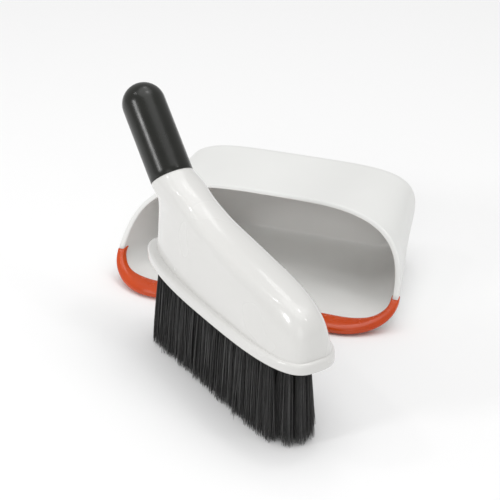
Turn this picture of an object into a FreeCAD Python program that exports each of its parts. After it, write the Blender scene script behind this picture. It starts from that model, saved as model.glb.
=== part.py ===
import FreeCAD, Part
import math
import os

# Dust pan and hand brush set, in millimetres, +Z up. The pan's mouth faces -Y and the origin is on the floor
# in the middle of the pan's base. The brush stands on its bristles in front of the mouth.

V = FreeCAD.Vector

# Pan, driving dimensions
PAN_HALF_WIDTH = 108.0        # at the ends of the lip
PAN_BACK_HALF_WIDTH = 88.5
TAPER_ROUND = 0.06            # how softly the side walls turn inwards behind the lip
PAN_SIDE_HEIGHT = 21.0        # top of the rounded lower corners
PAN_FRONT_Y = -61.0           # front edge of the lip, on the floor
PAN_SHOULDER_Y = 61.5         # where the rounded back begins
HOOD_FRONT_Y = 4.0
HOOD_FRONT_HEIGHT = 68.3
HOOD_BACK_HEIGHT = 75.7
BACK_ROUND = 14.0
BACK_BOTTOM_ROUND = 6.0
FLOOR_TRIM = 0.2              # cut off level, so that the underside is a true flat
FLOOR_HALF_WIDTH = 66.0       # flat part of the underside, at the widest section
LOWER_CORNER_POWER = 2.6      # roundness of the lower corners
ROOF_POWERS = (3.6, 4.6)      # roundness of the roof, at the mouth and at the back
REAR_LEAN = 0.1               # how much wider the back is at the roof, as a share of its width
SHELL_WALL = 2.3
SHELL_FLOOR = 2.8
SIDE_WALLS = (4.2, 2.6)       # side wall thickness, at the mouth and at the back
LIP_THICKNESS = 7.4
LIP_END_THICKNESS = 6.0
LIP_DEPTH = 18.0
LIP_END_DEPTH = 7.5
LIP_PROUD = 0.8
LIP_POWER = 2.7               # roundness of the lip's section
LIP_RING_POINTS = 20
TONGUE_SETBACK = 5.0          # the shell's edge stands this far back inside the lip
SECTION_POINTS = 24

# Grips, shared by the pan and the brush
GRIP_RADIUS = 14.5
GRIP_STRAIGHT = 53.1
GRIP_BORE_RADIUS = 9.5
CORE_LENGTH = 52.0            # length of spigot inside a grip
FIT_GAP = 0.05

# Pan handle
HANDLE_Z = 19.0
HANDLE_NECK_LENGTH = 21.0
NECK_ROOT_HALF_WIDTH = 24.0
NECK_ROOT_HALF_HEIGHT = 15.5

# Brush, in its own frame: u to the nose, v to the left, w up from the floor
BRUSH_X = 28.5
BRUSH_Y = -142.0
BRUSH_TURN = -35.6
FLANGE_BOTTOM = 57.7
FLANGE_TOP = 65.5
FLANGE_NOSE = 98.0
FLANGE_REAR = -96.0
FLANGE_HALF_WIDTH = 24.7
FLANGE_POWERS = (3.2, 2.3)    # roundness at the nose and at the rear
FLANGE_NOSE_FLARE = 0.06
FLANGE_ROUND = 2.6
BODY_WALL = 2.4
PLUG_HEIGHT = 4.5             # how far the base plate stands up into the casing
PLUG_GAP = 2.3                # between the plate's plug and the casing's wall at its foot
# Casing sections: height, nose end, rear end, half width, roundness at the nose and at the rear, nose flare
BODY_SECTIONS = (
    (65.5, 95.5, -88.0, 19.8, 3.7, 2.2, 0.12),
    (75.0, 94.5, -85.5, 18.8, 3.4, 2.3, 0.09),
    (85.0, 91.0, -84.5, 17.5, 3.1, 2.3, 0.07),
    (94.0, 80.0, -84.5, 16.2, 2.7, 2.2, 0.03),
    (101.0, 47.0, -86.0, 14.9, 2.4, 2.2, 0.0),
    (107.0, 7.0, -87.5, 14.1, 2.2, 2.2, 0.0),
    (113.0, -20.0, -89.5, 14.2, 2.1, 2.5, 0.0),
    (119.0, -36.0, -92.0, 14.5, 2.0, 2.3, 0.0),
)
NECK_AXIS_U = -70.8           # centre of the joint between the neck and the grip
NECK_AXIS_W = 118.7
NECK_TILT = 47.8              # of the grip's axis, above the floor
NECK_SECTION_HEIGHTS = (127.0, 136.0, 146.0)
CAVITY_SECTIONS = 5           # lower sections that the hollow of the casing follows
NECK_BEVEL_LENGTH = 8.0
NECK_BEVEL_RADIUS = 28.4
SOCKET_DEPTH = 15.0

# Tufts
ROW_OFFSETS = (-12.4, -6.2, 0.0, 6.2, 12.4)
TUFT_PITCH = 6.6
FIELD_HALF_LENGTH = 80.0
FIELD_HALF_WIDTH = 15.5
FIELD_POWER = 4.0
HOLE_RADIUS = 2.15
HOLE_DEPTH = 7.3
TUFT_ROOT_RADIUS = 2.1
TUFT_TIP_RADIUS = 3.1
TUFT_ROOT_LENGTH = 6.0
TIP_SPREAD_U = 1.04
TIP_SHIFT_U = 0.5
TIP_SPREAD_V = 1.15
TIP_SHIFT_V = -1.8
ANCHOR_SIZE = (3.2, 0.4, 1.2)

# Screws that hold the base plate to the casing
SCREW_PLACES = (-52.8, 0.0, 52.8)
SCREW_RADIUS = 1.5
SCREW_HEAD_RADIUS = 2.8
SCREW_HEAD_HEIGHT = 2.0
SCREW_LENGTH = 18.0
POST_RADIUS = 4.2
POST_BOTTOM = 70.4

# Side profiles of the pan, as (y, z) points
LIP_END_Y = PAN_FRONT_Y + 28.5
MOUTH_PROFILE = (
    (PAN_FRONT_Y - 2.6, -1.0),
    (PAN_FRONT_Y + 7.0, 2.8),
    (PAN_FRONT_Y + 16.5, 8.6),
    (LIP_END_Y, PAN_SIDE_HEIGHT),
    (-17.0, 40.0),
    (HOOD_FRONT_Y, 66.3),
    (HOOD_FRONT_Y + 9.0, 77.3),
)
LIP_BACK_PROFILE = (
    (PAN_FRONT_Y + LIP_DEPTH, -1.0),
    (PAN_FRONT_Y + LIP_DEPTH + 4.0, 5.0),
    (PAN_FRONT_Y + 29.5, 12.0),
    (LIP_END_Y + LIP_END_DEPTH, PAN_SIDE_HEIGHT),
    (LIP_END_Y + LIP_END_DEPTH + 2.5, PAN_SIDE_HEIGHT + 4.0),
)
LIP_CORNER_STEPS = 12

BIG = 400.0


def blend(low, high, share):
    """A value between low and high."""
    return low + (high - low) * share


def power(value, exponent):
    """A signed power, for rounded-rectangle outlines."""
    return math.copysign(abs(value) ** exponent, value)


# ---------------------------------------------------------------- pan

def pan_taper(y):
    """How far along the side walls a place is, from the lip's ends to the rounded back."""
    return min(max((y - LIP_END_Y) / (PAN_SHOULDER_Y - LIP_END_Y), 0.0), 1.0)


def pan_size(y):
    """Half width, height, roof roundness and lean of the pan's outside at a distance along it."""
    along = min(max((y - HOOD_FRONT_Y) / (PAN_SHOULDER_Y - HOOD_FRONT_Y), 0.0), 1.0)
    taper = pan_taper(y)
    softened = (math.hypot(taper, TAPER_ROUND) - TAPER_ROUND) / (math.hypot(1.0, TAPER_ROUND) - TAPER_ROUND)
    half_width = blend(PAN_HALF_WIDTH, PAN_BACK_HALF_WIDTH, softened)
    slope = (HOOD_BACK_HEIGHT - HOOD_FRONT_HEIGHT) / (PAN_SHOULDER_Y - HOOD_FRONT_Y)
    height = HOOD_FRONT_HEIGHT + slope * (min(y, PAN_SHOULDER_Y) - HOOD_FRONT_Y)
    return half_width, height, blend(ROOF_POWERS[0], ROOF_POWERS[1], along), REAR_LEAN * along


def pan_section(y, size, side, top, bottom):
    """Closed outline across the pan: a flat bottom, rounded lower corners, upright sides and a crowned roof."""
    half_width, height, roof, lean = size
    half_width = half_width - side
    flat = FLOOR_HALF_WIDTH * half_width / PAN_HALF_WIDTH
    corner = half_width - flat
    points = []
    for step in range(SECTION_POINTS // 3):
        angle = 0.5 * math.pi * step / (SECTION_POINTS // 3)
        x = flat + corner * math.sin(angle) ** (2.0 / LOWER_CORNER_POWER)
        z = PAN_SIDE_HEIGHT - (PAN_SIDE_HEIGHT - bottom) * math.cos(angle) ** (2.0 / LOWER_CORNER_POWER)
        points.append(V(x, y, z))
    for step in range(SECTION_POINTS + 1):
        angle = math.pi * step / SECTION_POINTS
        rise = math.sin(angle) ** (2.0 / roof)
        x = half_width * power(math.cos(angle), 2.0 / roof) * (1.0 + lean * rise)
        points.append(V(x, y, PAN_SIDE_HEIGHT + (height - top - PAN_SIDE_HEIGHT) * rise))
    for point in reversed(points[:SECTION_POINTS // 3]):
        points.append(V(-point.x, y, point.z))
    curve = Part.BSplineCurve()
    curve.interpolate(Points=points, InitialTangent=V(1, 0, 0), FinalTangent=V(1, 0, 0))
    return Part.Wire([curve.toShape(), Part.LineSegment(points[-1], points[0]).toShape()])


def pan_solid(side_mouth, side_back, top, bottom, wall_back):
    """The pan's solid form, pulled in by the given thicknesses."""
    sections = []
    front = PAN_FRONT_Y - 6.0 - abs(bottom)
    for y in (front, -44.0, -22.0, HOOD_FRONT_Y - 5.0, 18.0, 36.0, 49.0, 57.0, PAN_SHOULDER_Y):
        sections.append(pan_section(y, pan_size(y), blend(side_mouth, side_back, pan_taper(y)), top, bottom))
    radius = BACK_ROUND - wall_back
    size = pan_size(PAN_SHOULDER_Y)
    for angle in (18.0, 36.0, 54.0, 70.0, 82.0, 90.0):
        turn = math.radians(angle)
        inset = radius * (1.0 - math.cos(turn))
        lift = max(BACK_BOTTOM_ROUND - wall_back, 1.0) * (1.0 - math.cos(turn))
        y = PAN_SHOULDER_Y + radius * math.sin(turn)
        sections.append(pan_section(y, size, side_back + inset, top + inset, bottom + lift))
    return Part.makeLoft(sections, True, False)


def pan_outside(proud):
    """The pan's outside, cut level with the floor underneath."""
    form = pan_solid(-proud, -proud, 0.0, -FLOOR_TRIM, 0.0)
    return form.common(Part.makeBox(BIG, BIG, BIG, V(-BIG / 2, -BIG / 2, 0)))


def profile_block(points):
    """Everything in front of and above a side profile of the pan."""
    curve = Part.BSplineCurve()
    curve.interpolate([V(-BIG / 2, y, z) for y, z in points])
    start = curve.value(curve.FirstParameter)
    end = curve.value(curve.LastParameter)
    corners = [end, V(start.x, end.y, 120), V(start.x, -160, 120), V(start.x, -160, start.z), start]
    edges = [curve.toShape()] + [Part.LineSegment(a, b).toShape() for a, b in zip(corners, corners[1:])]
    return Part.Face(Part.Wire(edges)).extrude(V(BIG, 0, 0))


def mouth_block():
    """The space in front of the pan's slanted mouth."""
    return profile_block(MOUTH_PROFILE)


def side_profile_y(points, z):
    """Distance along the pan at a height on a side profile given as (y, z) points."""
    curve = Part.BSplineCurve()
    curve.interpolate([V(0, y, height) for y, height in points])
    level = Part.Plane(V(0, 0, z), V(0, 0, 1))
    return curve.intersect(level)[0][0].Y


def lip_outline_point(station, side, bottom):
    """A point (x, z) on the pan's lower outline; station runs 0-1 on the floor and 1-2 round the corner."""
    half_width = PAN_HALF_WIDTH - side
    flat = FLOOR_HALF_WIDTH * half_width / PAN_HALF_WIDTH
    if station <= 1.0:
        return flat * station, bottom
    angle = 0.5 * math.pi * (station - 1.0)
    x = flat + (half_width - flat) * math.sin(angle) ** (2.0 / LOWER_CORNER_POWER)
    z = PAN_SIDE_HEIGHT - (PAN_SIDE_HEIGHT - bottom) * math.cos(angle) ** (2.0 / LOWER_CORNER_POWER)
    return x, z


def lip_ring(station):
    """Closed rounded section of the lip at one station of the outline."""
    thickness = blend(LIP_THICKNESS, LIP_END_THICKNESS, max(station - 1.0, 0.0))
    out_x, out_z = lip_outline_point(station, -LIP_PROUD, 0.0)
    in_x, in_z = lip_outline_point(station, thickness - LIP_PROUD, thickness)
    front = side_profile_y(MOUTH_PROFILE, out_z)
    back = side_profile_y(LIP_BACK_PROFILE, out_z)
    points = []
    for step in range(LIP_RING_POINTS):
        angle = 2.0 * math.pi * step / LIP_RING_POINTS
        along = -power(math.cos(angle), 2.0 / LIP_POWER)
        across = 0.5 + 0.5 * power(math.sin(angle), 2.0 / LIP_POWER)
        y = 0.5 * (front + back) + 0.5 * (back - front) * along
        narrow = pan_size(y)[0] / PAN_HALF_WIDTH
        points.append(V(narrow * blend(out_x, in_x, across), y, blend(out_z, in_z, across)))
    curve = Part.BSplineCurve()
    curve.interpolate(Points=points, PeriodicFlag=True)
    return Part.Wire([curve.toShape()])


def tongue_block():
    """The space in front of the edge of the shell that the lip is moulded round."""
    return profile_block([(y + TONGUE_SETBACK, z) for y, z in MOUTH_PROFILE])


def below(z):
    """Everything under a height."""
    return Part.makeBox(BIG, BIG, z + 50.0, V(-BIG / 2, -BIG / 2, -50.0))


def make_pan_lip(shell):
    """Rubber lip, a rounded section along the mouth's lower edge, moulded round the shell's edge."""
    corner = [1.0 + step / LIP_CORNER_STEPS for step in range(LIP_CORNER_STEPS + 1)]
    right = Part.makeLoft([lip_ring(station) for station in [0.0] + corner], True, True)
    left = right.mirror(V(0, 0, 0), V(1, 0, 0))
    pieces = right.fuse(left).removeSplitter().cut(shell).Solids
    return max(pieces, key=lambda piece: piece.Volume)


def make_pan_handle_core():
    """Neck from the back wall and the spigot inside the grip, along +Y."""
    back = PAN_SHOULDER_Y + BACK_ROUND
    sections = []
    for share in (0.0, 0.35, 0.7, 1.0):
        ease = 1.0 - (1.0 - share) ** 2
        wide = blend(NECK_ROOT_HALF_WIDTH, GRIP_RADIUS, ease)
        tall = blend(NECK_ROOT_HALF_HEIGHT, GRIP_RADIUS, ease)
        centre = V(0, back - SHELL_WALL + share * (HANDLE_NECK_LENGTH + SHELL_WALL), HANDLE_Z)
        circle = Part.Circle(V(0, 0, 0), V(0, 1, 0), 1.0).toShape()
        stretch = FreeCAD.Matrix()
        stretch.scale(V(wide, 1.0, tall))
        outline = circle.transformGeometry(stretch)
        outline.translate(centre)
        sections.append(Part.Wire([outline]))
    neck = Part.makeLoft(sections, True, False)
    spigot = Part.makeCylinder(GRIP_BORE_RADIUS - FIT_GAP, CORE_LENGTH + 1.0,
                               V(0, back + HANDLE_NECK_LENGTH - 1.0, HANDLE_Z), V(0, 1, 0))
    return neck.fuse(spigot)


def make_pan_shell():
    outside = pan_outside(0.0)
    inside = pan_solid(SIDE_WALLS[0], SIDE_WALLS[1], SHELL_WALL, SHELL_FLOOR, SHELL_WALL)
    hollow = outside.cut(inside).cut(mouth_block()).cut(tongue_block().common(below(PAN_SIDE_HEIGHT)))
    return hollow.fuse(make_pan_handle_core()).removeSplitter()


def make_grip(start, direction):
    """Round-ended sleeve with a blind bore for the spigot."""
    sleeve = Part.makeCylinder(GRIP_RADIUS, GRIP_STRAIGHT, start, direction)
    end = start + direction * GRIP_STRAIGHT
    sleeve = sleeve.fuse(Part.makeSphere(GRIP_RADIUS, end)).removeSplitter()
    bore = Part.makeCylinder(GRIP_BORE_RADIUS, CORE_LENGTH + 0.5, start, direction)
    before = Part.makeCylinder(GRIP_RADIUS * 2, GRIP_RADIUS * 2, start - direction * GRIP_RADIUS * 2, direction)
    return sleeve.cut(bore).cut(before)


# ---------------------------------------------------------------- brush

def oval(nose, rear, half_width, height, powers, flare):
    """Closed outline of the brush seen from above, at one height."""
    middle = (nose + rear) / 2.0
    half_length = (nose - rear) / 2.0
    points = []
    count = 2 * SECTION_POINTS
    for step in range(count):
        angle = 2.0 * math.pi * step / count
        roundness = powers[0] if math.cos(angle) > 0.0 else powers[1]
        along = power(math.cos(angle), 2.0 / roundness)
        across = power(math.sin(angle), 2.0 / roundness) * (1.0 + flare * along)
        points.append(V(middle + half_length * along, half_width * across, height))
    curve = Part.BSplineCurve()
    curve.interpolate(Points=points, PeriodicFlag=True)
    return Part.Wire([curve.toShape()])


def section_outline(section, height, inset):
    """Outline of one casing section, pulled in and set at a height."""
    nose, rear, half_width, nose_power, rear_power, flare = section[1:]
    return oval(nose - inset, rear + inset, half_width - inset, height, (nose_power, rear_power), flare)


def neck_direction():
    tilt = math.radians(NECK_TILT)
    return V(-math.cos(tilt), 0, math.sin(tilt))


def neck_centre():
    return V(NECK_AXIS_U, 0, NECK_AXIS_W)


def body_form(inset, drop, count, with_neck):
    """The casing's form: level outlines from the flange up into the neck."""
    sections = [section_outline(BODY_SECTIONS[0], FLANGE_TOP - drop - 1.5, inset)]
    for section in BODY_SECTIONS[:count]:
        sections.append(section_outline(section, section[0] - drop, inset))
    if with_neck:
        tilt = math.radians(NECK_TILT)
        reach = GRIP_RADIUS / math.sin(tilt)
        for height in NECK_SECTION_HEIGHTS:
            centre = NECK_AXIS_U - (height - NECK_AXIS_W) / math.tan(tilt)
            sections.append(oval(centre + reach, centre - reach, GRIP_RADIUS, height, (2.0, 2.0), 0.0))
    return Part.makeLoft(sections, True, False)


def neck_bevel():
    """The space round the end of the neck that brings it down to the grip's diameter."""
    start = neck_centre() - neck_direction() * NECK_BEVEL_LENGTH
    ring = Part.makeCylinder(NECK_BEVEL_RADIUS, NECK_BEVEL_LENGTH, start, neck_direction())
    return ring.cut(Part.makeCone(NECK_BEVEL_RADIUS, GRIP_RADIUS, NECK_BEVEL_LENGTH, start, neck_direction()))


def make_brush_shell():
    outside = body_form(0.0, 0.0, len(BODY_SECTIONS), True)
    beyond = Part.makeCylinder(80.0, 120.0, neck_centre(), neck_direction())
    outside = outside.cut(beyond).cut(neck_bevel())
    cavity = body_form(BODY_WALL, BODY_WALL, CAVITY_SECTIONS, False)
    shell = outside.cut(cavity).cut(below(FLANGE_TOP))
    for place in SCREW_PLACES:
        post = Part.makeCylinder(POST_RADIUS, 60.0, V(place, 0, POST_BOTTOM))
        shell = shell.fuse(post.common(outside))
    for place in SCREW_PLACES:
        shell = shell.cut(Part.makeCylinder(SCREW_RADIUS, SCREW_LENGTH, V(place, 0, FLANGE_BOTTOM)))
    socket = Part.makeCylinder(GRIP_BORE_RADIUS, SOCKET_DEPTH, neck_centre() - neck_direction() * SOCKET_DEPTH,
                               neck_direction())
    return shell.cut(socket).removeSplitter()


def make_brush_core():
    """Spigot that joins the casing's neck and the grip."""
    start = neck_centre() - neck_direction() * (SOCKET_DEPTH - 0.5)
    return Part.makeCylinder(GRIP_BORE_RADIUS - FIT_GAP, SOCKET_DEPTH + CORE_LENGTH - 0.5, start, neck_direction())


def tuft_places():
    """Rows of (u, v) centres of the tufts, staggered, with room left for the screws in the middle row."""
    rows = []
    for number, offset in enumerate(ROW_OFFSETS):
        share = 1.0 - (abs(offset) / FIELD_HALF_WIDTH) ** FIELD_POWER
        reach = FIELD_HALF_LENGTH * share ** (1.0 / FIELD_POWER)
        start = 0.5 * TUFT_PITCH if number % 2 else 0.0
        row = []
        for step in range(-20, 21):
            u = start + step * TUFT_PITCH
            blocked = offset == 0.0 and min(abs(u - place) for place in SCREW_PLACES) < 1.0
            if abs(u) <= reach and not blocked:
                row.append((u, offset))
        rows.append(row)
    return rows


def make_tuft(u, v):
    """One bunch of bristles: a root in its hole, then a cone that spreads to the floor."""
    tip = V(u * TIP_SPREAD_U + TIP_SHIFT_U, v * TIP_SPREAD_V + TIP_SHIFT_V, 0)
    rings = (
        (V(u, v, FLANGE_BOTTOM + TUFT_ROOT_LENGTH), TUFT_ROOT_RADIUS),
        (V(u, v, FLANGE_BOTTOM), TUFT_ROOT_RADIUS),
        (tip, TUFT_TIP_RADIUS),
    )
    wires = [Part.Wire([Part.Circle(centre, V(0, 0, 1), radius).toShape()]) for centre, radius in rings]
    return Part.makeLoft(wires, True, True)


def make_anchor(u, v):
    """Flat wire that holds a tuft at the bottom of its hole."""
    long, thin, tall = ANCHOR_SIZE
    return Part.makeBox(long, thin, tall, V(u - long / 2, v - thin / 2, FLANGE_BOTTOM + TUFT_ROOT_LENGTH + 0.05))


def make_brush_block(rows):
    flange = oval(FLANGE_NOSE, FLANGE_REAR, FLANGE_HALF_WIDTH, FLANGE_BOTTOM, FLANGE_POWERS, FLANGE_NOSE_FLARE)
    plate = Part.Face(flange).extrude(V(0, 0, FLANGE_TOP - FLANGE_BOTTOM))
    plate = plate.makeFillet(FLANGE_ROUND, plate.Edges)
    plug = section_outline(BODY_SECTIONS[0], FLANGE_TOP - 1.0, BODY_WALL + PLUG_GAP)
    block = plate.fuse(Part.Face(plug).extrude(V(0, 0, PLUG_HEIGHT + 1.0)))
    holes = [Part.makeCylinder(HOLE_RADIUS, HOLE_DEPTH, V(u, v, FLANGE_BOTTOM)) for row in rows for u, v in row]
    for place in SCREW_PLACES:
        holes.append(Part.makeCylinder(SCREW_RADIUS + 0.1, 20.0, V(place, 0, FLANGE_BOTTOM)))
        holes.append(Part.makeCylinder(SCREW_HEAD_RADIUS + 0.2, SCREW_HEAD_HEIGHT + 1.0, V(place, 0, FLANGE_BOTTOM)))
    return block.cut(Part.makeCompound(holes))


def make_screws():
    """Three self-tapping screws, heads up inside the plate's counterbores."""
    screws = []
    for place in SCREW_PLACES:
        foot = V(place, 0, FLANGE_BOTTOM + 1.0)
        head = Part.makeCylinder(SCREW_HEAD_RADIUS, SCREW_HEAD_HEIGHT, foot)
        shank = Part.makeCylinder(SCREW_RADIUS - FIT_GAP, SCREW_LENGTH - 2.0, foot)
        screws.append(head.fuse(shank))
    return Part.makeCompound(screws)


def place_brush(shape):
    """Turn the brush to its heading and stand it in front of the pan."""
    placed = shape.copy()
    placed.rotate(V(0, 0, 0), V(0, 0, 1), BRUSH_TURN)
    placed.translate(V(BRUSH_X, BRUSH_Y, 0))
    return placed


def main():
    os.makedirs("parts", exist_ok=True)
    rows = tuft_places()
    pan_shell = make_pan_shell()
    grip_start = V(0, PAN_SHOULDER_Y + BACK_ROUND + HANDLE_NECK_LENGTH, HANDLE_Z)
    pieces = {
        "pan_shell": pan_shell,
        "pan_lip": make_pan_lip(pan_shell),
        "pan_grip": make_grip(grip_start, V(0, 1, 0)),
        "brush_shell": place_brush(make_brush_shell()),
        "brush_core": place_brush(make_brush_core()),
        "brush_grip": place_brush(make_grip(neck_centre(), neck_direction())),
        "brush_block": place_brush(make_brush_block(rows)),
        "block_screws": place_brush(make_screws()),
        "tuft_anchors": place_brush(Part.makeCompound([make_anchor(u, v) for row in rows for u, v in row])),
    }
    for number, row in enumerate(rows, start=1):
        tufts = Part.makeCompound([make_tuft(u, v) for u, v in row])
        pieces["tuft_row_%d" % number] = place_brush(tufts)
    for name, shape in pieces.items():
        print(name, len(shape.Solids), round(shape.Volume), shape.isValid())
        shape.exportStep("parts/%s.step" % name)


main()
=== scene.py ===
"""Dust pan and hand brush set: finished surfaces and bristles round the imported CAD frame."""
import math

import bpy
import numpy as np
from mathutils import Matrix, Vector


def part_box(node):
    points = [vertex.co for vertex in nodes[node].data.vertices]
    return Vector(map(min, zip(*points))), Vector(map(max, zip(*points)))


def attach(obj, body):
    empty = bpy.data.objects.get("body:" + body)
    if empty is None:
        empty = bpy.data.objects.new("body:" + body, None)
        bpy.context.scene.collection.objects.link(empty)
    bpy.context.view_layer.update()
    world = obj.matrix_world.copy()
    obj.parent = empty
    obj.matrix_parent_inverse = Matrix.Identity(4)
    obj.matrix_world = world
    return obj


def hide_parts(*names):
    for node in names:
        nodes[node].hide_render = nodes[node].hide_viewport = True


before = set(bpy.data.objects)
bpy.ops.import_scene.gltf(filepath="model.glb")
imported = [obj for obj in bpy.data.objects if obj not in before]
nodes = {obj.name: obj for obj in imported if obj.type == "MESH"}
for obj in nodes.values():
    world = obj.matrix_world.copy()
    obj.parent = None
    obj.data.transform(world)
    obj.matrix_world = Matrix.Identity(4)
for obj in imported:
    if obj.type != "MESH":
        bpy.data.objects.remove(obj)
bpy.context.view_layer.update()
random = np.random.default_rng(7)
MM = 0.001


# ---------------------------------------------------------------- driving dimensions, in millimetres

def node_box(name):
    low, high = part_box(name)
    return np.array(low) / MM, np.array(high) / MM


def node_points(name):
    return np.array([v.co for v in nodes[name].data.vertices]) / MM


SHELL_HIGH = node_box("pan_shell")[1]
LIP_HIGH = node_box("pan_lip")[1]
PAN_GRIP_LOW, PAN_GRIP_HIGH = node_box("pan_grip")

# Pan
LIP_PROUD = 0.8
HALF_WIDTH = 108.0
BACK_HALF_WIDTH = 88.5
TAPER_ROUND = 0.06
REAR_LEAN = 0.1
SIDE_HEIGHT = LIP_HIGH[2]
BACK_ROUND = 14.0
NECK_LENGTH = 21.0
BACK_Y = PAN_GRIP_LOW[1] - NECK_LENGTH
SHOULDER_Y = BACK_Y - BACK_ROUND
HOOD_FRONT_Y = SHOULDER_Y - 57.5
LIP_FRONT = HOOD_FRONT_Y - 65.0
LIP_END_Y = LIP_FRONT + 28.5
HOOD_BACK_HEIGHT = SHELL_HIGH[2]
HOOD_FRONT_HEIGHT = HOOD_BACK_HEIGHT - 7.4
ROOF_POWERS = (3.6, 4.6)
FLAT_SHARE = 66.0 / 108.0
CORNER_POWER = 2.6
BOTTOM_ROUND = 6.0
WALL = 2.3
FLOOR_WALL = 2.8
SIDE_WALLS = (4.2, 2.6)
RIM_ROUND = 1.3
LIP_THICKNESS = 7.4
LIP_END_THICKNESS = 6.0
LIP_DEPTH = 18.0
LIP_END_DEPTH = 7.5
LIP_POWER = 2.7
LIP_TUCK = 6.0                # how far the shell's front edge is set back inside the lip

# Grips
GRIP_RADIUS = (PAN_GRIP_HIGH[0] - PAN_GRIP_LOW[0]) / 2
GRIP_STRAIGHT = PAN_GRIP_HIGH[1] - PAN_GRIP_LOW[1] - GRIP_RADIUS
HANDLE_Z = (PAN_GRIP_LOW[2] + PAN_GRIP_HIGH[2]) / 2
NECK_ROOT = (24.0, 15.5)
NECK_OVERLAP = 0.5            # how far the neck starts ahead of the back wall's inside

# Brush, in its own frame: u to the nose, v to the left, w up from the floor
NECK_AXIS_U = -70.8
NECK_AXIS_W = 118.7
SOCKET_DEPTH = 14.5
CORE_REACH = 52.0
FLANGE_BOTTOM = 57.7
FLANGE_TOP = 65.5
FLANGE_NOSE = 98.0
FLANGE_REAR = -96.0
FLANGE_HALF_WIDTH = 24.7
FLANGE_POWERS = (3.2, 2.3)
FLANGE_NOSE_FLARE = 0.06
FLANGE_ROUND = 2.4
FLANGE_CROWN = 0.1            # rise of the base plate's top towards the casing
# Casing sections: height, nose end, rear end, half width, roundness at the nose and at the rear, nose flare
BODY_SECTIONS = (
    (65.5, 95.5, -88.0, 19.8, 3.7, 2.2, 0.12),
    (75.0, 94.5, -85.5, 18.8, 3.4, 2.3, 0.09),
    (85.0, 91.0, -84.5, 17.5, 3.1, 2.3, 0.07),
    (94.0, 80.0, -84.5, 16.2, 2.7, 2.2, 0.03),
    (101.0, 47.0, -86.0, 14.9, 2.4, 2.2, 0.0),
    (107.0, 7.0, -87.5, 14.1, 2.2, 2.2, 0.0),
    (113.0, -20.0, -89.5, 14.2, 2.1, 2.5, 0.0),
    (119.0, -36.0, -92.0, 14.5, 2.0, 2.3, 0.0),
)
NECK_SECTION_HEIGHTS = (127.0, 136.0, 146.0)
ROW_OFFSETS = (-12.4, -6.2, 0.0, 6.2, 12.4)
TUFT_PITCH = 6.6
NECK_BLEND = 16.0             # length over which the neck turns round to fit the grip
FIELD_HALF_LENGTH = 80.0
FIELD_HALF_WIDTH = 15.5
FIELD_POWER = 4.0
SCREW_PLACES = (-52.8, 0.0, 52.8)
TIP_SPREAD_U = 1.04
TIP_SHIFT_U = 0.5
TIP_SPREAD_V = 1.15
TIP_SHIFT_V = -1.8


# ---------------------------------------------------------------- helpers

def blend(low, high, share):
    return low + (high - low) * share


def power(value, exponent):
    return np.sign(value) * np.abs(value) ** exponent


def smooth_curve(points, samples):
    """A smooth curve through a few points, as an array of samples."""
    points = np.array(points, float)
    ends = [2 * points[0] - points[1], *points, 2 * points[-1] - points[-2]]
    out = []
    for a, b, c, d in zip(ends, ends[1:], ends[2:], ends[3:]):
        for t in np.linspace(0, 1, samples, endpoint=False):
            cubic = (2 * a - 5 * b + 4 * c - d) * t * t + (3 * b - a - 3 * c + d) * t ** 3
            out.append(0.5 * (2 * b + (c - a) * t + cubic))
    return np.array(out + [points[-1]])


def resample(points, count):
    """The same polyline with evenly spaced points."""
    steps = np.linalg.norm(np.diff(points, axis=0), axis=1)
    along = np.concatenate([[0], np.cumsum(steps)])
    even = np.linspace(0, along[-1], count)
    return np.stack([np.interp(even, along, points[:, k]) for k in range(points.shape[1])], axis=1)


def relax(rows, passes):
    """Soften a grid along its rows and keep its first and last row."""
    rows = rows.copy()
    for _ in range(passes):
        rows[1:-1] = 0.25 * rows[:-2] + 0.5 * rows[1:-1] + 0.25 * rows[2:]
    return rows


def grid_faces(rows, columns, closed, start=0):
    faces = []
    for r in range(rows - 1):
        for c in range(columns if closed else columns - 1):
            a = start + r * columns + c
            b = start + r * columns + (c + 1) % columns
            faces.append((a, b, b + columns, a + columns))
    return faces


def make_piece(name, points, faces, body, material, stands_for):
    """A smooth-shaded mesh from points in millimetres, riding on a CAD body."""
    mesh = bpy.data.meshes.new(name)
    mesh.from_pydata((np.asarray(points) * MM).tolist(), [], faces)
    mesh.materials.append(material)
    mesh.update()
    mesh.shade_smooth()
    piece = bpy.data.objects.new(name, mesh)
    bpy.context.scene.collection.objects.link(piece)
    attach(piece, body)
    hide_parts(*stands_for)
    return piece


# ---------------------------------------------------------------- pan

def pan_taper(y):
    """How far along the side walls a place is, from the lip's ends to the rounded back."""
    return np.clip((y - LIP_END_Y) / (SHOULDER_Y - LIP_END_Y), 0.0, 1.0)


def pan_size(y):
    """Half width, height, roof roundness and lean of the pan's outside at a distance along it."""
    along = np.clip((y - HOOD_FRONT_Y) / (SHOULDER_Y - HOOD_FRONT_Y), 0.0, 1.0)
    full = math.hypot(1.0, TAPER_ROUND) - TAPER_ROUND
    softened = (np.hypot(pan_taper(y), TAPER_ROUND) - TAPER_ROUND) / full
    slope = (HOOD_BACK_HEIGHT - HOOD_FRONT_HEIGHT) / (SHOULDER_Y - HOOD_FRONT_Y)
    height = HOOD_FRONT_HEIGHT + slope * (min(y, SHOULDER_Y) - HOOD_FRONT_Y)
    return blend(HALF_WIDTH, BACK_HALF_WIDTH, softened), height, blend(*ROOF_POWERS, along), REAR_LEAN * along


FLOOR_COUNT, CORNER_COUNT, SIDE_COUNT, ROOF_COUNT = 14, 16, 4, 44


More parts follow.
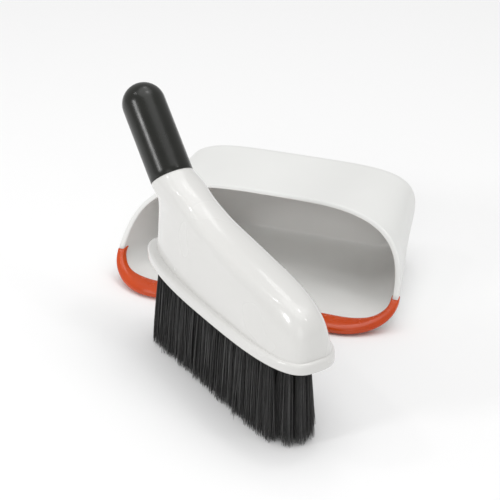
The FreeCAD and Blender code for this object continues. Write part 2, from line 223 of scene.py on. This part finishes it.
def pan_outline(y, side, top, bottom):
    """Half outline across the pan, from the middle of the floor to the middle of the roof, as (x, z)."""
    half_width, height, roof, lean = pan_size(y)
    half_width = half_width - side
    flat = FLAT_SHARE * half_width
    angle = np.linspace(0, math.pi / 2, 200)
    floor = np.array([(0.0, bottom), (flat, bottom)])
    corner = np.stack([
        flat + (half_width - flat) * np.sin(angle) ** (2 / CORNER_POWER),
        SIDE_HEIGHT - (SIDE_HEIGHT - bottom) * np.cos(angle) ** (2 / CORNER_POWER)], axis=1)
    rise = np.sin(angle) ** (2 / roof)
    upper = np.stack([
        half_width * np.cos(angle) ** (2 / roof) * (1 + lean * rise),
        SIDE_HEIGHT + (height - top - SIDE_HEIGHT) * rise], axis=1)
    parts = [
        resample(floor, FLOOR_COUNT)[:-1],
        resample(corner, CORNER_COUNT)[:-1],
        resample(upper, SIDE_COUNT + ROOF_COUNT)]
    return np.concatenate(parts)


def curve_y(points):
    """y as a function of z along a side profile given as (y, z) points."""
    curve = smooth_curve(points, 24)
    return lambda z: np.interp(z, curve[:, 1], curve[:, 0])


mouth_y = curve_y([
    (LIP_FRONT - 2.6, -1.0),
    (LIP_FRONT + 7.0, 2.8),
    (LIP_FRONT + 16.5, 8.6),
    (LIP_END_Y, SIDE_HEIGHT),
    (-17.0, 40.0),
    (HOOD_FRONT_Y, 66.3),
    (HOOD_FRONT_Y + 9.0, 77.3)])
lip_back_y = curve_y([
    (LIP_FRONT + LIP_DEPTH, -1.0),
    (LIP_FRONT + LIP_DEPTH + 4.0, 5.0),
    (LIP_FRONT + 29.5, 12.0),
    (LIP_END_Y + LIP_END_DEPTH, SIDE_HEIGHT),
    (LIP_END_Y + LIP_END_DEPTH + 2.5, SIDE_HEIGHT + 4.0)])


def mirrored(half):
    """A closed loop from a half outline that starts and ends on the middle line."""
    other = half[-2:0:-1] * np.array([-1.0, 1.0, 1.0])
    return np.concatenate([half, other])


BODY_ROWS, ROUND_ROWS = 72, 12


def pan_surface(sides, top, bottom, radius, lift):
    """Rows of closed outlines from the slanted mouth to the rounded back."""
    stations = np.linspace(LIP_FRONT - 6.0, SHOULDER_Y, 160)
    outlines = np.array([pan_outline(y, blend(*sides, pan_taper(y)), top, bottom) for y in stations])
    columns = outlines.shape[1]
    starts = np.full(columns, HOOD_FRONT_Y)
    for _ in range(12):
        z = np.array([np.interp(starts[c], stations, outlines[:, c, 1]) for c in range(columns)])
        under_lip = np.clip((SIDE_HEIGHT - 0.3 - z) / 1.5, 0.0, 1.0)
        starts = mouth_y(z) + RIM_ROUND + LIP_TUCK * under_lip
    rows = []
    for share in np.linspace(0.0, 1.0, BODY_ROWS):
        y = blend(starts, SHOULDER_Y, share)
        x = [np.interp(y[c], stations, outlines[:, c, 0]) for c in range(columns)]
        z = [np.interp(y[c], stations, outlines[:, c, 1]) for c in range(columns)]
        rows.append(mirrored(np.stack([x, y, z], axis=1)))
    for angle in np.linspace(0.0, math.pi / 2, ROUND_ROWS)[1:]:
        inset = 1.0 - math.cos(angle)
        half = pan_outline(SHOULDER_Y, sides[1] + radius * inset, top + radius * inset, bottom + lift * inset)
        y = np.full(len(half), SHOULDER_Y + radius * math.sin(angle))
        rows.append(mirrored(np.stack([half[:, 0], y, half[:, 1]], axis=1)))
    return np.array(rows)


def rim_rows(outer, inner, count=7):
    """Rounded rim between the front edges of the outside and the inside."""
    ahead = outer[0] - outer[1] + inner[0] - inner[1]
    ahead /= np.linalg.norm(ahead, axis=1, keepdims=True)
    middle = (outer[0] + inner[0]) / 2
    half = (outer[0] - inner[0]) / 2
    rows = []
    for angle in np.linspace(0, math.pi, count + 2)[1:-1]:
        across = power(math.cos(angle), 0.7)
        out = power(math.sin(angle), 0.7)
        rows.append(middle + half * across + ahead * RIM_ROUND * out)
    return np.array(rows)


def handle_neck_rings(columns=72):
    """Trumpet-shaped neck from the pan's back wall to its grip."""
    rings = []
    for share in np.linspace(0.0, 1.0, 24):
        ease = 1.0 - (1.0 - share) ** 2
        wide = blend(NECK_ROOT[0], GRIP_RADIUS, ease)
        tall = blend(NECK_ROOT[1], GRIP_RADIUS, ease)
        y = BACK_Y - WALL + NECK_OVERLAP + share * (NECK_LENGTH + WALL - NECK_OVERLAP)
        turn = np.linspace(0, 2 * math.pi, columns, endpoint=False)
        ring = [wide * np.cos(turn), np.full(columns, y), HANDLE_Z + tall * np.sin(turn)]
        rings.append(np.stack(ring, axis=1))
    return np.array(rings)


def closed_rows(rows, start):
    """Points and faces of a closed form made of rings, with a fan at each end."""
    count, columns = rows.shape[:2]
    points = rows.reshape(-1, 3).tolist() + [rows[0].mean(axis=0).tolist(), rows[-1].mean(axis=0).tolist()]
    faces = grid_faces(count, columns, True, start)
    first = start + count * columns
    top = start + (count - 1) * columns
    for c in range(columns):
        after = (c + 1) % columns
        faces.append((first, start + after, start + c))
        faces.append((first + 1, top + c, top + after))
    return points, faces


def make_pan_body(material):
    outer = pan_surface((0.0, 0.0), 0.0, 0.0, BACK_ROUND, BOTTOM_ROUND)
    inner = pan_surface(SIDE_WALLS, WALL, FLOOR_WALL, BACK_ROUND - WALL, BOTTOM_ROUND - WALL)
    rows = np.concatenate([outer[::-1], rim_rows(outer, inner), inner])
    points, faces = closed_rows(rows, 0)
    neck_points, neck_faces = closed_rows(handle_neck_rings(), len(points))
    return make_piece(
        "pan_body", points + neck_points, faces + neck_faces, "pan", material, ["pan_shell"])


def lip_outline(station, side, bottom):
    """A point (x, z) on the pan's lower outline; station runs 0-1 on the floor and 1-2 round the corner."""
    half_width = HALF_WIDTH - side
    flat = FLAT_SHARE * half_width
    if station <= 1.0:
        return np.array([flat * station, bottom])
    angle = 0.5 * math.pi * (station - 1.0)
    x = flat + (half_width - flat) * math.sin(angle) ** (2 / CORNER_POWER)
    z = SIDE_HEIGHT - (SIDE_HEIGHT - bottom) * math.cos(angle) ** (2 / CORNER_POWER)
    return np.array([x, z])


def make_pan_lip(material, around=40):
    """Rubber lip: a fat rounded section that follows the mouth's lower edge and thins towards its ends."""
    turn = np.linspace(0, 2 * math.pi, around, endpoint=False)
    along = -power(np.cos(turn), 2 / LIP_POWER)
    across = (0.5 + 0.5 * power(np.sin(turn), 2 / LIP_POWER))[:, None]
    rings = []
    for station in np.concatenate([np.linspace(0.0, 1.0, 24), 1.0 + np.linspace(0.0, 1.0, 56)[1:]]):
        thickness = blend(LIP_THICKNESS, LIP_END_THICKNESS, max(station - 1.0, 0.0))
        out = lip_outline(station, -LIP_PROUD, 0.0)
        into = lip_outline(station, thickness - LIP_PROUD, thickness)
        front, back = mouth_y(out[1]), lip_back_y(out[1])
        y = (front + back) / 2 + (back - front) / 2 * along
        narrow = np.array([pan_size(value)[0] for value in y]) / HALF_WIDTH
        outline = blend(out, into, across)
        rings.append(np.stack([outline[:, 0] * narrow, y, outline[:, 1]], axis=1))
    half = np.array(rings)
    middle = half[-1].mean(axis=0)
    edge = middle + (half[-1] - middle) * 0.93
    half[-1][:, 2] -= 0.5
    right = np.concatenate([half, [edge]])
    left = right[::-1] * np.array([-1.0, 1.0, 1.0])
    points, faces = closed_rows(np.concatenate([left[:-1], right]), 0)
    return make_piece("lip", points, faces, "pan", material, ["pan_lip"])


# ---------------------------------------------------------------- grips

def grip_rings(start, direction, side, columns=72):
    """Rings of a round-ended sleeve, with a small soft edge where it meets the neck."""
    direction = np.array(direction, float)
    side = np.array(side, float)
    third = np.cross(direction, side)
    edge = ((0.25, 1.2), (0.25, 0.5), (0.45, 0.15), (0.8, 0.0))
    profile = [(reach, GRIP_RADIUS - inset) for reach, inset in edge]
    profile += [(reach, GRIP_RADIUS) for reach in np.linspace(4.0, GRIP_STRAIGHT, 16)]
    for angle in np.linspace(0, math.pi / 2, 22)[1:-1]:
        profile.append((GRIP_STRAIGHT + GRIP_RADIUS * math.sin(angle), GRIP_RADIUS * math.cos(angle)))
    profile.append((GRIP_STRAIGHT + GRIP_RADIUS, 0.05))
    turn = np.linspace(0, 2 * math.pi, columns, endpoint=False)
    spokes = np.outer(np.cos(turn), side) + np.outer(np.sin(turn), third)
    return np.array([np.array(start) + direction * reach + spokes * radius for reach, radius in profile])


def make_grip(name, start, direction, side, body, material, stands_for):
    points, faces = closed_rows(grip_rings(start, direction, side), 0)
    return make_piece(name, points, faces, body, material, stands_for)


# ---------------------------------------------------------------- brush

def brush_frame():
    """Where the brush stands, read from its handle's spigot: its axis, heading and neck."""
    core = node_points("brush_core")
    middle = (core.max(axis=0) + core.min(axis=0)) / 2
    axis = np.linalg.svd(core - core.mean(axis=0), full_matrices=False)[2][0]
    axis *= np.sign(axis[2])
    heading = -axis[:2] / np.linalg.norm(axis[:2])
    neck = middle - axis * (CORE_REACH - SOCKET_DEPTH) / 2
    origin = neck[:2] - heading * NECK_AXIS_U
    return axis, heading, origin


AXIS, HEADING, ORIGIN = brush_frame()
TILT = math.asin(AXIS[2])


def to_row(points):
    """Points from the brush's frame to the row's frame."""
    points = np.asarray(points, float)
    u, v, w = points[..., 0], points[..., 1], points[..., 2]
    x = ORIGIN[0] + u * HEADING[0] - v * HEADING[1]
    y = ORIGIN[1] + u * HEADING[1] + v * HEADING[0]
    return np.stack([x, y, w], axis=-1)


def body_levels():
    """Casing sections through the neck, closely spaced."""
    rows = list(BODY_SECTIONS)
    reach = GRIP_RADIUS / math.sin(TILT)
    for height in NECK_SECTION_HEIGHTS:
        centre = NECK_AXIS_U - (height - NECK_AXIS_W) / math.tan(TILT)
        rows.append((height, centre + reach, centre - reach, GRIP_RADIUS, 2.0, 2.0, 0.0))
    return smooth_curve(rows, 14)


def fit_neck(rings):
    """Turn the casing's last stretch round, so that it ends in the grip's circle."""
    centre = np.array([NECK_AXIS_U, 0.0, NECK_AXIS_W])
    spokes = rings[-1] - centre
    moves = spokes * (GRIP_RADIUS / np.linalg.norm(spokes, axis=1, keepdims=True) - 1.0)
    steps = np.linalg.norm(np.diff(rings, axis=0), axis=2)
    from_end = np.concatenate([np.cumsum(steps[::-1], axis=0)[::-1], np.zeros((1, rings.shape[1]))])
    share = np.clip(1.0 - from_end / NECK_BLEND, 0.0, 1.0)
    ease = share * share * (3.0 - 2.0 * share)
    return rings + moves * ease[:, :, None]


def body_rings(rows=130, columns=128):
    """The casing as rings that start level on the flange and end square to the grip."""
    turn = np.linspace(0, 2 * math.pi, columns, endpoint=False)
    height, nose, rear, half_width, nose_power, rear_power, flare = body_levels().T[:, :, None]
    exponent = np.where(np.cos(turn) > 0, 2 / nose_power, 2 / rear_power)
    along = power(np.cos(turn), exponent)
    u = (nose + rear) / 2 + (nose - rear) / 2 * along
    v = half_width * power(np.sin(turn), exponent) * (1 + flare * along)
    w = height + 0 * turn
    beyond = (w - NECK_AXIS_W) * math.sin(TILT) - (u - NECK_AXIS_U) * math.cos(TILT)
    grid = np.stack([u, v, w], axis=-1)
    lines = []
    for c in range(columns):
        stop = int(np.argmax(beyond[:, c] > 0))
        share = beyond[stop - 1, c] / (beyond[stop - 1, c] - beyond[stop, c])
        end = blend(grid[stop - 1, c], grid[stop, c], share)
        lines.append(resample(np.concatenate([grid[:stop, c], [end]]), rows))
    return fit_neck(relax(np.stack(lines, axis=1), 6))


def make_brush_body(material):
    rings = body_rings()
    base = rings[0].copy()
    base[:, 2] -= 0.8
    tucked = (rings[-1] - rings[-1].mean(axis=0)) * 0.9 + rings[-1].mean(axis=0)
    points, faces = closed_rows(to_row(np.concatenate([[base], rings, [tucked]])), 0)
    return make_piece("brush_body", points, faces, "brush", material, ["brush_shell"])


def flange_outline(columns=160):
    turn = np.linspace(0, 2 * math.pi, columns, endpoint=False)
    exponent = np.where(np.cos(turn) > 0, 2 / FLANGE_POWERS[0], 2 / FLANGE_POWERS[1])
    along = power(np.cos(turn), exponent)
    across = power(np.sin(turn), exponent) * (1 + FLANGE_NOSE_FLARE * along)
    middle, half_length = (FLANGE_NOSE + FLANGE_REAR) / 2, (FLANGE_NOSE - FLANGE_REAR) / 2
    line = np.stack([middle + half_length * along, FLANGE_HALF_WIDTH * across], axis=1)
    closed = np.concatenate([line, line[:1]])
    return resample(closed, columns + 1)[:-1]


def make_flange(material):
    """Base plate with rounded edges and a crown that rises a little towards the casing."""
    line = flange_outline()
    ahead = np.roll(line, -1, axis=0) - np.roll(line, 1, axis=0)
    inward = np.stack([-ahead[:, 1], ahead[:, 0]], axis=1)
    inward /= np.linalg.norm(inward, axis=1, keepdims=True)
    tall = FLANGE_TOP - FLANGE_BOTTOM
    arc = np.linspace(0, math.pi / 2, 8)
    profile = [(16.0, 0.0), (7.0, 0.0)]
    profile += [(FLANGE_ROUND * (1 - math.sin(a)), FLANGE_ROUND * (1 - math.cos(a))) for a in arc]
    profile += [(FLANGE_ROUND * (1 - math.cos(a)), tall - FLANGE_ROUND * (1 - math.sin(a))) for a in arc]
    profile += [(6.0, tall + FLANGE_CROWN / 2), (11.0, tall + FLANGE_CROWN), (16.0, tall + FLANGE_CROWN)]
    rings = []
    for inset, height in profile:
        ring = line + inward * inset
        rings.append(np.column_stack([ring, np.full(len(ring), FLANGE_BOTTOM + height)]))
    points, faces = closed_rows(to_row(np.array(rings)), 0)
    return make_piece("flange", points, faces, "brush", material, ["brush_block"])


# ---------------------------------------------------------------- bristles

def tuft_rows():
    """The (u, v) centres of the tufts, row by row, as they are in the base plate."""
    rows = []
    for number, offset in enumerate(ROW_OFFSETS):
        share = 1.0 - (abs(offset) / FIELD_HALF_WIDTH) ** FIELD_POWER
        reach = FIELD_HALF_LENGTH * share ** (1.0 / FIELD_POWER)
        start = 0.5 * TUFT_PITCH if number % 2 else 0.0
        places = [start + step * TUFT_PITCH for step in range(-20, 21)]
        if offset == 0.0:
            places = [u for u in places if min(abs(u - screw) for screw in SCREW_PLACES) > 1.0]
        rows.append([(u, offset) for u in places if abs(u) <= reach])
    return rows


STRANDS = 76
STRAND_LEVELS = np.array([0.0, 0.35, 0.7, 0.88, 1.0])
STRAND_RADIUS = np.array([0.3, 0.3, 0.28, 0.22, 0.1])
TUFT_ROOT, TUFT_TIP = 2.0, 3.5


def strand_rings(u, v):
    """All the strands of one tuft, as rings of three points at each level."""
    golden = math.pi * (3 - math.sqrt(5))
    number = np.arange(STRANDS)
    spread = np.sqrt((number + 0.5) / STRANDS)
    angle = number * golden + random.uniform(0, 6.28)
    disc = np.stack([spread * np.cos(angle), spread * np.sin(angle)], axis=1)
    lean = random.normal(0, 0.55, 2)
    tip_centre = np.array([u * TIP_SPREAD_U + TIP_SHIFT_U, v * TIP_SPREAD_V + TIP_SHIFT_V]) + lean
    root = np.array([u, v]) + disc * TUFT_ROOT
    tip = tip_centre + disc * TUFT_TIP + random.normal(0, 0.35, (STRANDS, 2))
    short = np.abs(random.normal(0, 1.3, STRANDS)) + abs(random.normal(0, 0.6))
    stray = random.random(STRANDS) < 0.06
    tip[stray] += random.normal(0, 1.6, (int(stray.sum()), 2))
    bow = random.normal(0, 0.45, (STRANDS, 2))
    rings = []
    for level, radius in zip(STRAND_LEVELS, STRAND_RADIUS):
        centre = blend(root, tip, level) + bow * math.sin(math.pi * level)
        height = blend(FLANGE_BOTTOM + 0.6, 0.25 + short, level)
        for corner in range(3):
            turn = 2 * math.pi * corner / 3 + angle
            side = np.stack([np.cos(turn), np.sin(turn)], axis=1) * radius
            rings.append(np.column_stack([centre + side, height]))
    levels = len(STRAND_LEVELS)
    return np.array(rings).reshape(levels, 3, STRANDS, 3).transpose(2, 0, 1, 3)


def make_bristles(number, places, material):
    """One row of tufts, each strand a thin tapered stick."""
    points, faces = [], []
    for u, v in places:
        for strand in strand_rings(u, v):
            start = len(points)
            points += to_row(strand.reshape(-1, 3)).tolist()
            faces += grid_faces(len(STRAND_LEVELS), 3, True, start)
            last = start + 3 * (len(STRAND_LEVELS) - 1)
            faces += [(last, last + 1, last + 2), (start + 2, start + 1, start)]
    name = "tuft_row_%d" % number
    return make_piece("bristles_%d" % number, points, faces, "brush", material, [name])


# ---------------------------------------------------------------- materials

def new_material(name, **inputs):
    """A Principled material with plain values on its own sockets."""
    material = bpy.data.materials.new(name)
    material.use_nodes = True
    shader = material.node_tree.nodes["Principled BSDF"]
    for socket, value in inputs.items():
        shader.inputs[socket.replace("_", " ")].default_value = value
    return material, material.node_tree, shader


def noise(tree, scale, detail=3.0, stretch=(1, 1, 1)):
    """Noise over the object's own coordinates, in metres."""
    place = tree.nodes.new("ShaderNodeTexCoord")
    shape = tree.nodes.new("ShaderNodeMapping")
    shape.inputs["Scale"].default_value = stretch
    texture = tree.nodes.new("ShaderNodeTexNoise")
    texture.inputs["Scale"].default_value = scale
    texture.inputs["Detail"].default_value = detail
    tree.links.new(place.outputs["Object"], shape.inputs["Vector"])
    tree.links.new(shape.outputs["Vector"], texture.inputs["Vector"])
    return texture.outputs["Fac"]


def ramp(tree, fac, low, high, start=0.3, end=0.7):
    """Colours spread between two ends of a factor."""
    node = tree.nodes.new("ShaderNodeValToRGB")
    node.color_ramp.elements[0].position = start
    node.color_ramp.elements[0].color = (*low, 1)
    node.color_ramp.elements[1].position = end
    node.color_ramp.elements[1].color = (*high, 1)
    tree.links.new(fac, node.inputs["Fac"])
    return node.outputs["Color"]


def spread(tree, fac, low, high):
    """A factor mapped to a range of values."""
    node = tree.nodes.new("ShaderNodeMapRange")
    node.inputs["From Min"].default_value = 0.3
    node.inputs["From Max"].default_value = 0.7
    node.inputs["To Min"].default_value = low
    node.inputs["To Max"].default_value = high
    tree.links.new(fac, node.inputs["Value"])
    return node.outputs["Result"]


def bump(tree, shader, fac, strength, distance):
    node = tree.nodes.new("ShaderNodeBump")
    node.inputs["Strength"].default_value = strength
    node.inputs["Distance"].default_value = distance
    tree.links.new(fac, node.inputs["Height"])
    tree.links.new(node.outputs["Normal"], shader.inputs["Normal"])


def moulded_plastic(name, low, high, gloss, grain, coat):
    """Moulded plastic: slight shade changes, uneven gloss and a faint moulded texture."""
    material, tree, shader = new_material(name, IOR=1.49, Coat_Weight=coat, Coat_Roughness=0.08)
    tree.links.new(ramp(tree, noise(tree, 14.0), low, high), shader.inputs["Base Color"])
    tree.links.new(spread(tree, noise(tree, 25.0, 1.0), *gloss), shader.inputs["Roughness"])
    bump(tree, shader, noise(tree, 1400.0, 2.0), grain, 0.0002)
    return material


def soft_rubber(name, low, high, gloss, grain):
    """Soft moulded rubber: fine grain and satin gloss."""
    material, tree, shader = new_material(name, IOR=1.5)
    tree.links.new(ramp(tree, noise(tree, 45.0, 5.0), low, high), shader.inputs["Base Color"])
    tree.links.new(spread(tree, noise(tree, 120.0), *gloss), shader.inputs["Roughness"])
    bump(tree, shader, noise(tree, 2600.0, 2.0), grain, 0.0003)
    return material


def bristle_nylon():
    """Dark nylon strands: each strand a little lighter or darker than its neighbours."""
    material, tree, shader = new_material("bristle_nylon", IOR=1.5, Sheen_Weight=0.15)
    fine = noise(tree, 900.0, 2.0, (1, 1, 0.02))
    shades = ramp(tree, fine, (0.008, 0.008, 0.008), (0.035, 0.034, 0.033))
    tree.links.new(shades, shader.inputs["Base Color"])
    tree.links.new(spread(tree, noise(tree, 500.0), 0.38, 0.6), shader.inputs["Roughness"])
    return material


def steel():
    """Plain bright steel for the screws and the tuft anchors."""
    material, tree, shader = new_material("plain_steel", Metallic=1.0)
    shades = ramp(tree, noise(tree, 300.0), (0.5, 0.5, 0.5), (0.65, 0.65, 0.64))
    tree.links.new(shades, shader.inputs["Base Color"])
    tree.links.new(spread(tree, noise(tree, 800.0), 0.25, 0.45), shader.inputs["Roughness"])
    return material


# ---------------------------------------------------------------- light, floor and camera

FLOOR_REACH = 6.0             # metres from the middle of the floor to each edge


def make_stage():
    """A pale floor that runs far behind the object."""
    mesh = bpy.data.meshes.new("floor")
    corners = [(x * FLOOR_REACH, y * FLOOR_REACH, 0) for x, y in ((-1, -1), (1, -1), (1, 1), (-1, 1))]
    mesh.from_pydata(corners, [], [(0, 1, 2, 3)])
    floor = bpy.data.objects.new("floor", mesh)
    bpy.context.scene.collection.objects.link(floor)
    material = new_material("pale_floor", Roughness=0.9, Base_Color=(0.93, 0.93, 0.93, 1))[0]
    mesh.materials.append(material)


def area_light(name, place, target, size, power_w):
    """A round softbox that faces a target; places in metres."""
    data = bpy.data.lights.new(name, "AREA")
    data.shape = "ELLIPSE"
    data.size, data.size_y = size
    data.energy = power_w
    light = bpy.data.objects.new(name, data)
    light.location = place
    aim = Vector(target) - Vector(place)
    light.rotation_euler = aim.to_track_quat("-Z", "Y").to_euler()
    bpy.context.scene.collection.objects.link(light)


def sun_light(name, place, strength, spread_degrees):
    """A broad soft light from far away, in the direction of a place."""
    data = bpy.data.lights.new(name, "SUN")
    data.energy = strength
    data.angle = math.radians(spread_degrees)
    light = bpy.data.objects.new(name, data)
    light.rotation_euler = (-Vector(place)).to_track_quat("-Z", "Y").to_euler()
    bpy.context.scene.collection.objects.link(light)


def make_light():
    """An even white surround, a broad top light, and softboxes in front, behind and to both sides."""
    world = bpy.data.worlds.new("studio")
    world.use_nodes = True
    world.node_tree.nodes["Background"].inputs["Color"].default_value = (1, 1, 1, 1)
    world.node_tree.nodes["Background"].inputs["Strength"].default_value = 0.56
    bpy.context.scene.world = world
    sun_light("top", (0.1, 0.0, 1.0), 1.0, 60.0)
    area_light("mouth", (0.35, -1.25, 0.55), (0.0, 0.0, 0.03), (0.7, 0.7), 1.2)
    area_light("left", (-0.77, -0.39, 1.23), (0.05, -0.15, 0.1), (0.1, 0.1), 0.7)
    area_light("right", (0.98, -0.29, 1.17), (0.1, -0.19, 0.09), (0.1, 0.1), 0.6)
    area_light("front", (-0.69, -1.01, 0.64), (-0.05, -0.1, 0.13), (0.28, 0.28), 2.7)
    area_light("overhead", (0.28, 0.04, 1.42), (-0.05, -0.09, 0.17), (0.2, 0.2), 1.0)
    area_light("back", (-0.2, 0.45, 1.2), (0.0, -0.05, 0.05), (0.3, 0.3), 0.5)


CAMERA_AZIMUTH, CAMERA_ELEVATION = 22.0, 26.6
CAMERA_DISTANCE = 0.950
CAMERA_TARGET = Vector((-0.0015, -0.03407, 0.040))
CAMERA_LENS = 96.1


def make_camera():
    """A long lens in front, a little to the right and above."""
    azimuth, elevation = math.radians(CAMERA_AZIMUTH), math.radians(CAMERA_ELEVATION)
    away = Vector((math.sin(azimuth) * math.cos(elevation), -math.cos(azimuth) * math.cos(elevation),
                   math.sin(elevation)))
    data = bpy.data.cameras.new("camera")
    data.lens = CAMERA_LENS
    data.sensor_width = 36.0
    camera = bpy.data.objects.new("camera", data)
    camera.location = CAMERA_TARGET + away * CAMERA_DISTANCE
    camera.rotation_euler = (-away).to_track_quat("-Z", "Y").to_euler()
    bpy.context.scene.collection.objects.link(camera)
    bpy.context.scene.camera = camera


# ---------------------------------------------------------------- the set

def main():
    """Build every piece, then the floor, the light and the camera."""
    bpy.context.scene.view_settings.view_transform = "Standard"
    pan_white = moulded_plastic(
        "pan_white", (0.78, 0.783, 0.765), (0.81, 0.813, 0.795), (0.3, 0.42), 0.12, 0.1)
    brush_white = moulded_plastic(
        "brush_white", (0.7, 0.695, 0.675), (0.73, 0.725, 0.705), (0.25, 0.28), 0.03, 0.45)
    orange = soft_rubber(
        "orange_rubber", (0.54, 0.05, 0.0005), (0.61, 0.064, 0.002), (0.2, 0.28), 0.08)
    black = soft_rubber(
        "black_rubber", (0.004, 0.0045, 0.0025), (0.007, 0.0078, 0.005), (0.22, 0.28), 0.06)
    nylon = bristle_nylon()
    core_white = moulded_plastic(
        "core_white", (0.7, 0.7, 0.68), (0.78, 0.78, 0.76), (0.4, 0.5), 0.1, 0.0)
    metal = steel()

    make_pan_body(pan_white)
    make_pan_lip(orange)
    pan_neck = (0, PAN_GRIP_LOW[1], HANDLE_Z)
    make_grip("pan_handle_grip", pan_neck, (0, 1, 0), (1, 0, 0), "pan", black, ["pan_grip"])
    brush_neck = to_row((NECK_AXIS_U, 0, NECK_AXIS_W))
    across = (-HEADING[1], HEADING[0], 0.0)
    make_grip("brush_handle_grip", brush_neck, AXIS, across, "brush", black, ["brush_grip"])
    make_brush_body(brush_white)
    make_flange(brush_white)
    for number, places in enumerate(tuft_rows(), start=1):
        make_bristles(number, places, nylon)
    for name, material in (("brush_core", core_white), ("block_screws", metal), ("tuft_anchors", metal)):
        nodes[name].data.materials.clear()
        nodes[name].data.materials.append(material)
    make_stage()
    make_light()
    make_camera()


main()
